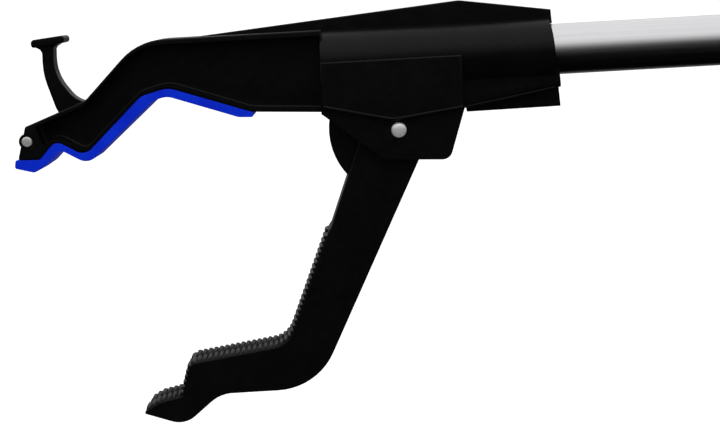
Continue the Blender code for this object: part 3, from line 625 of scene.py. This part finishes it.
def make_lower_jaw():
    """The moving jaw: arm, hub, disc, the slotted crank above its pivot, and its teeth."""
    half = LOWER_HALF
    front = [
        (-23.1, -30.6, 0), (-24.0, -31.8, 0), (-39.2, -68.6, 9), (-71.6, -73.1, 3), (-75.0, -84.0, 1.2),
        (-82.9, -85.7, 2.2), (-88.4, -89.0, 0.5),
    ]
    outline = rounded([
        *front, (-74.9, -93.9, 8), (-62.5, -83.8, 12), (-30.7, -83.8, 21), (8.7, -4.9, 0), (0, 2, 0),
        (-12.0, -2.0, 0),
    ])
    arm = prism("lower_jaw_arm", outline, -half, half)

    def widths(x, z):
        """Broad along the back and the underside, narrow along the gripping side."""
        back = x > -31 + (z + 68.6) * 0.458 and z < -6
        under = z < (-79 if x > -70 else -89 + (x + 88.4) * 0.1)
        return 2.8 if back or under else 0.4

    round_edges(arm, widths, 5)
    disc = arc((0, 0), 22.0, 160, 243) + [(0, -6), (6, 2)]
    lug = leaned(arc((0, 19.4), 4.4, 0, 180) + [(-4.4, 0), (4.4, 0)], JAW_SWING / 2)
    join(
        arm,
        rod_shape("hub", 11.0, "Y", (JAW_X, 0.1 - half, -JAW_DROP), 2 * half - 0.2, 96, edge=0.4),
        prism("disc", disc, -4.9, 4.9, edge=0.4),
        prism("lug", lug, -2.8, 2.8, edge=0.3),
    )
    slot = arc((0, 17.8 / math.cos(JAW_SWING / 2) + 0.25), 1.85, 0, 180) + arc((0, 17.55), 1.85, 180, 360)
    cut(
        arm,
        prism("crank_slot", leaned(slot, JAW_SWING / 2), -20, 20),
        rod_shape("jaw_bore", PIN_BORE, "Y", (JAW_X, -20, -JAW_DROP), 40, 48),
    )
    dress(arm, "black_plastic", "jaw", "lower_jaw")
    path = rounded_path([(-24.2, -32.2, 0), *front[2:-1], (-88.0, -88.7, 0)])
    rows = ((-6.6, -0.3), (0.3, 6.6))
    grip = teeth("lower_jaw_teeth", path, 0.9, rows, TOOTH_PITCH, TOOTH_HEIGHT, TOOTH_SINK)
    dress(grip, "black_plastic", "jaw", sharp=60)


def make_jaw_pin():
    """The rivet that the lower jaw turns on, and the nut pushed on its far end."""
    near = -EAR_HALF - GAP
    length = 2 * EAR_HALF + 2.6
    dome = [(2.4 * math.cos(a), -0.1 - 1.05 * math.sin(a)) for a in quarter(8)]
    profile = [(0, length), (1.7, length), (2.0, length - 0.3), (2.0, 0), (2.4, 0)] + dome[:-1] + [(0, -1.15)]
    rivet = turned("jaw_pivot_rivet", profile, "Y", (JAW_X, near, -JAW_DROP), sides=48)
    dress(rivet, "steel", "frame", "jaw_pivot_pin")
    nut = [(2.6, 1.3), (3.3, 0.5), (3.3, 0), (2.1, 0), (2.1, 1.3)]
    ring = turned("jaw_pin_cap_nut", nut, "Y", (JAW_X, EAR_HALF + GAP, -JAW_DROP), ring=True, sides=48)
    dress(ring, "steel", "frame", "jaw_pin_push_nut")


# ---------------------------------------------------------------- tube and rod

TUBE_FRONT = JAW_X + 20.3
TUBE_REAR = -127.3
TUBE_SCREW = (-138.0, 1.8)
SPRING = (-117.0, -84.5)


def make_tube():
    length = TUBE_REAR - TUBE_FRONT
    inner = TUBE_RADIUS - 1.2
    rim = 0.25
    profile = [(inner + rim, length), (TUBE_RADIUS - rim, length), (TUBE_RADIUS, length - rim)]
    profile += [
        (TUBE_RADIUS, rim), (TUBE_RADIUS - rim, 0), (inner + rim, 0), (inner, rim), (inner, length - rim),
    ]
    tube = turned("drawn_tube", profile, "X", (TUBE_FRONT, 0, 0), ring=True, sides=128)
    cut(
        tube,
        rod_shape("head_hole", SCREW_HOLE, "Y", (JAW_X + HEAD_SCREW, 4, 0), 20, 32),
        rod_shape("tube_hole", SCREW_HOLE, "Y", (TUBE_SCREW[0], -20, TUBE_SCREW[1]), 40, 32),
    )
    dress(tube, "aluminium", "frame", "tube")


def make_spring():
    """The return spring, which shortens towards its washer as the rod slides."""
    turns, per_turn, coil, thick = 9, 32, 3.3, 0.5
    points = []
    for i in range(turns * per_turn + 1):
        angle = 2 * math.pi * i / per_turn
        share = i / (turns * per_turn)
        x = SPRING[0] + thick + share * (SPRING[1] - SPRING[0] - 2 * thick)
        points.append((x, coil * math.cos(angle), ROD_Z + coil * math.sin(angle)))
    spring = wire("return_spring_coil", points, thick, resolution=3)
    dress(spring, "steel", "frame", "return_spring")
    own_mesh(spring)


# ---------------------------------------------------------------- handle

SHELL_HALF = 13.0
SHELL_INSIDE = 10.4
TRIGGER_HALF = 9.0
SHELL_SCREWS = ((-104, 8.2), (-84, 20.5), (-26, 20), (-15, -52), (-14, -98))
SCREW_SEAT = 10.4  # how far out from the middle the screw heads sit
HANG_HOLE = (-8.0, -114.5)


def handle_outline():
    return rounded([
        (-167, 11.8, 4.5), (-118, 12.4, 40), (-88, 32.0, 24), (-50, 34.6, 60), (15.6, 17.5, 7),
        (-1.5, -2.5, 20), (8, -46, 45), (-1, -90, 45), (11, -123, 6), (-26.5, -123, 7),
        (-29.5, -66, 60), (-31.5, -13.5, 7), (-120, -12.4, 0), (-167, -11.8, 4.5),
    ])


def make_handle_shell(node, name, side):
    """One half of the pistol grip, with its rooms, posts, screw wells and grip grooves."""
    shell = prism(name, handle_outline(), -SHELL_HALF, SHELL_HALF, (0, 0), edge=3.2, steps=6)
    trigger_room = rounded([
        (-80.3, -30, 0), (-80.3, 13, 4), (-74, 30.7, 6), (-40, 30.7, 8), (-34.5, 12, 3), (-34.5, -30, 0),
    ])
    grip_room = rounded([
        (-28, -18, 3), (-3, -12, 5), (3.8, -46, 30), (-4, -88, 30), (-1, -106, 3), (-25, -106, 3),
        (-27, -60, 40),
    ])
    cut(
        shell,
        rod_shape("tube_room", TUBE_RADIUS + 0.25, "X", (-180, 0, 0), 54.5, 96),
        rod_shape("spring_room", 6.0, "X", (-126, 0, ROD_Z), 126 - 82.6, 48),
        rod_shape("rod_way", 2.0, "X", (-100, 0, ROD_Z), 30, 32),
        prism("trigger_room", trigger_room, -SHELL_INSIDE, SHELL_INSIDE, (0, 0)),
        prism("grip_room", grip_room, -SHELL_INSIDE, SHELL_INSIDE, (0, 0)),
    )
    wall = SHELL_INSIDE + 0.5
    for x, z in SHELL_SCREWS[3:]:
        join(shell, rod_shape("post", 3.6, "Y", (x, -wall, z), 2 * wall, 48))
    post_length = wall - 7.2
    low = 7.2 if side > 0 else -wall
    join(shell, rod_shape("pivot_post", 5.0, "Y", (LEVER[0], low, LEVER[1]), post_length, 48))
    pin_half = SHELL_INSIDE + 0.8
    cut(
        shell,
        rod_shape("pivot_hole", 2.6, "Y", (LEVER[0], -pin_half, LEVER[1]), 2 * pin_half, 48),
        rod_shape("hang_hole", 3.2, "Y", (HANG_HOLE[0], -20, HANG_HOLE[1]), 40, 64),
    )
    for x, z in (*SHELL_SCREWS, TUBE_SCREW):
        cut(
            shell,
            rod_shape("screw_hole", 1.6, "Y", (x, -20, z), 31, 32),
            rod_shape("screw_well", SCREW_SEAT_RADIUS, "Y", (x, -20, z), 20 - SCREW_SEAT, 48),
        )
    for i in range(8):
        z = -60.5 - 4.2 * i
        groove = [(-23.5, SHELL_HALF + 0.75, z + 1.4), (-6.5 - 0.35 * i, SHELL_HALF + 0.75, z - 1.4)]
        cut(shell, wire("grip_groove", [(x, side * y, h) for x, y, h in groove], 1.35, 5))
    low, high = sorted((side * GAP / 2, side * -30))
    cut(shell, block("other_half", (-200, low, -160), (60, high, 80)))
    dress(shell, "black_plastic", "frame", node)


def make_screw(node, name, x, z, head_y, length, direction):
    """A pan-head screw with a cross recess, its head's underside at head_y."""
    dome = [(3.0 * math.cos(a), -0.6 - 1.3 * math.sin(a)) for a in quarter(5)]
    profile = [(0, length), (0.56, length), (1.4, length - 1.6), (1.4, 0), (3.0, 0), *dome[:-1], (0, -1.9)]
    screw = turned(name, profile, direction, (x, head_y, z), sides=48)
    sign = 1 if direction == "Y" else -1
    deep = sorted((head_y - sign * 3.0, head_y - sign * 0.9))
    for half_x, half_z in ((1.7, 0.35), (0.35, 1.7)):
        cut(screw, block("cross", (-half_x, deep[0], -half_z), (half_x, deep[1], half_z), (x, z)))
    dress(screw, "steel", "frame", node)


def make_screws():
    seat = -SCREW_SEAT - GAP
    for i, (x, z) in enumerate(SHELL_SCREWS):
        make_screw(f"shell_screw_{i + 1}", f"shell_cross_screw_{i + 1}", x, z, seat, 20, "Y")
    make_screw("tube_screw", "tube_cross_screw", *TUBE_SCREW, seat, 20, "Y")
    make_screw("head_screw", "head_cross_screw", JAW_X + HEAD_SCREW, 0, HEAD_SCREW_SEAT + GAP, 5.0, "-Y")


def turn_back(*objects):
    """Turns a trigger piece from half pulled, as it is outlined, to rest."""
    centre = Matrix.Translation(Vector((LEVER[0], 0, LEVER[1])) * MM)
    back = centre @ Matrix.Rotation(TRIGGER_SWING / 2, 4, "Y") @ centre.inverted()
    bpy.context.view_layer.update()
    for obj in objects:
        obj.matrix_world = back @ obj.matrix_world


def make_trigger():
    """The trigger, outlined half pulled, with its slot for the fork's pin, and its finger pad."""
    lever = rounded([
        (-8, 6, 5), (8, 6, 5), (8.2, -44, 3), (6.8, -60, 40), (-3.5, -119, 6), (-22, -122, 3.5),
        (-15.5, -104, 14), (-9.5, -78, 60), (-10.5, -50, 14), (-12.5, -44.5, 2.5), (-8, -42, 2),
    ])
    crank = -ROD_Z + LEVER[1]
    trigger = prism("trigger_lever", lever, -TRIGGER_HALF, TRIGGER_HALF, LEVER, edge=1.8, steps=5)
    seat = rounded([(-24, -112, 0), (-13.6, -107, 0), (-7.4, -78, 60), (-8.6, -51, 0), (-24, -51, 0)])
    reach = crank / math.cos(TRIGGER_SWING / 2)
    slot = arc((0, 0.25 - crank), 1.85, 0, 180) + arc((0, -reach - 0.25), 1.85, 180, 360)
    cut(
        trigger,
        prism("pad_seat", seat, -7.8, 7.8, LEVER),
        prism("trigger_slot", slot, -20, 20, LEVER),
        rod_shape("trigger_bore", 2.75, "Y", (LEVER[0], -20, LEVER[1]), 40, 48),
    )
    for low, high in both_sides(2.8, 20):
        fork_room = [(-20, -18), (20, -18), (20, -36.5), (-20, -36.5)]
        cut(trigger, prism("fork_room", fork_room, low, high, LEVER))
    for low, high in both_sides(4.6, 20):
        fork_swing = [(low, -18.5), (high, -18.5), (high, -36), (low, -36)]
        cut(trigger, prism("fork_swing", fork_swing, -20, 20, LEVER))
    for low, high in both_sides(6.8, 20):
        cut(trigger, prism("neck_side", [(-20, 20), (20, 20), (20, -43), (-20, -43)], low, high, LEVER))
    pad = rounded([
        (-16.4, -107.5, 0.9), (-13.9, -106.0, 0), (-7.8, -77.9, 60), (-9.0, -51.4, 0), (-11.1, -51.4, 1.2),
        (-10.2, -78, 60),
    ])
    soft = prism("trigger_soft_pad", pad, -7.5, 7.5, LEVER, edge=0.6)
    turn_back(trigger, soft)
    dress(trigger, "black_plastic", "trigger", "trigger")
    dress(soft, "blue_rubber", "trigger", "trigger_pad")


def dress_carried_nodes():
    """The inner CAD pieces that stay as they are, each with its slot's finish."""
    slots = {row["node"]: row["material_slot"] for row in frame["record"]["subparts"]}
    for name, obj in frame["nodes"].items():
        obj.data.materials.clear()
        obj.data.materials.append(SLOTS[slots[name]])
        obj.data.shade_smooth()
        obj.data.set_sharp_from_angle(angle=math.radians(32))


# ---------------------------------------------------------------- stage

FLOOR_Z = -0.45
FLOOR_HALF = 40
CAMERA_AT = (JAW_X * MM - 0.01357, -0.38408, 0.01889)
CAMERA_PITCH = math.radians(10)
CAMERA_ROLL = math.radians(3.2)


def make_camera():
    """The camera, looking a little down at the head and rolled a little."""
    lens = bpy.data.cameras.new("camera")
    lens.lens = 60
    lens.sensor_width = 36
    camera = link(bpy.data.objects.new("camera", lens))
    forward = Vector((0, math.cos(CAMERA_PITCH), -math.sin(CAMERA_PITCH)))
    level = Vector((1, 0, 0))
    above = level.cross(forward)
    right = level * math.cos(CAMERA_ROLL) - above * math.sin(CAMERA_ROLL)
    up = level * math.sin(CAMERA_ROLL) + above * math.cos(CAMERA_ROLL)
    turn = Matrix((right, up, -forward)).transposed().to_4x4()
    camera.matrix_world = Matrix.Translation(CAMERA_AT) @ turn
    bpy.context.scene.camera = camera


def make_world():
    """A white room that lights the object from overhead and from the wall behind it."""
    world = bpy.data.worlds.new("studio")
    bpy.context.scene.world = world
    world.use_nodes = True
    tree = world.node_tree
    tree.nodes.clear()

    def node(kind, **values):
        made = tree.nodes.new(kind)
        for key, value in values.items():
            setattr(made, key, value)
        return made

    def math_node(operation, a, b):
        made = node("ShaderNodeMath", operation=operation)
        for socket, value in zip(made.inputs, (a, b)):
            if isinstance(value, (int, float)):
                socket.default_value = value
            else:
                tree.links.new(value, socket)
        return made.outputs[0]

    def smooth(source, start, end, low, high):
        made = node("ShaderNodeMapRange", interpolation_type="SMOOTHSTEP")
        for socket, value in zip(made.inputs[1:5], (start, end, low, high)):
            socket.default_value = value
        tree.links.new(source, made.inputs[0])
        return made.outputs[0]

    direction = node("ShaderNodeSeparateXYZ")
    tree.links.new(node("ShaderNodeTexCoord").outputs["Generated"], direction.inputs[0])
    ceiling = smooth(direction.outputs["Z"], -0.08, 0.65, 0, 0.92)
    rim = smooth(direction.outputs["Y"], 0.6, 0.95, 0.0, 0.2)
    strength = math_node("ADD", ceiling, rim)
    light = node("ShaderNodeBackground")
    light.inputs["Color"].default_value = (1, 1, 1, 1)
    tree.links.new(strength, light.inputs["Strength"])
    seen = node("ShaderNodeBackground")
    seen.inputs["Color"].default_value = (1, 1, 1, 1)
    seen.inputs["Strength"].default_value = 1.0
    mix = node("ShaderNodeMixShader")
    tree.links.new(node("ShaderNodeLightPath").outputs["Is Camera Ray"], mix.inputs[0])
    tree.links.new(light.outputs[0], mix.inputs[1])
    tree.links.new(seen.outputs[0], mix.inputs[2])
    tree.links.new(mix.outputs[0], node("ShaderNodeOutputWorld").inputs["Surface"])


def make_light(name, place, target, size, power):
    """A soft rectangular light that neither the camera nor a reflection sees."""
    data = bpy.data.lights.new(name, "AREA")
    data.shape = "RECTANGLE"
    data.size, data.size_y = size
    data.energy = power
    light = link(bpy.data.objects.new(name, data))
    light.location = place
    light.rotation_euler = (Vector(target) - Vector(place)).to_track_quat("-Z", "Y").to_euler()
    light.visible_camera = False
    light.visible_glossy = False


def make_floor():
    """A plain pale floor well below the part."""
    mesh = bpy.data.meshes.new("floor")
    bm = bmesh.new()
    bmesh.ops.create_grid(bm, x_segments=1, y_segments=1, size=FLOOR_HALF)
    bm.to_mesh(mesh)
    bm.free()
    floor = link(bpy.data.objects.new("floor", mesh))
    floor.location.z = FLOOR_Z
    nodes = Nodes("pale_floor", Roughness=0.9, Specular_IOR_Level=0.1)
    nodes.set("Base Color", nodes.ramp(nodes.noise(3, 2), (0.93, 0.93, 0.93), (0.96, 0.96, 0.96)))
    nodes.shader.inputs["Emission Color"].default_value = (1, 1, 1, 1)
    nodes.shader.inputs["Emission Strength"].default_value = 0.35
    mesh.materials.append(nodes.material)
    floor.visible_diffuse = False
    floor.visible_glossy = False


make_camera()
make_world()
make_light("key", (JAW_X * MM + 0.1, -0.75, 1.15), (JAW_X * MM + 0.02, 0, -0.03), (0.9, 0.5), 7)
make_light("bounce", (-0.32, -0.12, -0.42), (-0.32, 0, 0), (1.2, 0.8), 3)
make_floor()
bpy.context.scene.view_settings.view_transform = "Standard"

dress_carried_nodes()
make_jaw_frame()
make_jaw_liner()
make_magnet()
make_lower_jaw()
make_jaw_pin()
make_tube()
make_spring()
make_handle_shell("left_handle_shell", "left_grip_moulding", -1)
make_handle_shell("right_handle_shell", "right_grip_moulding", 1)
make_screws()
make_trigger()
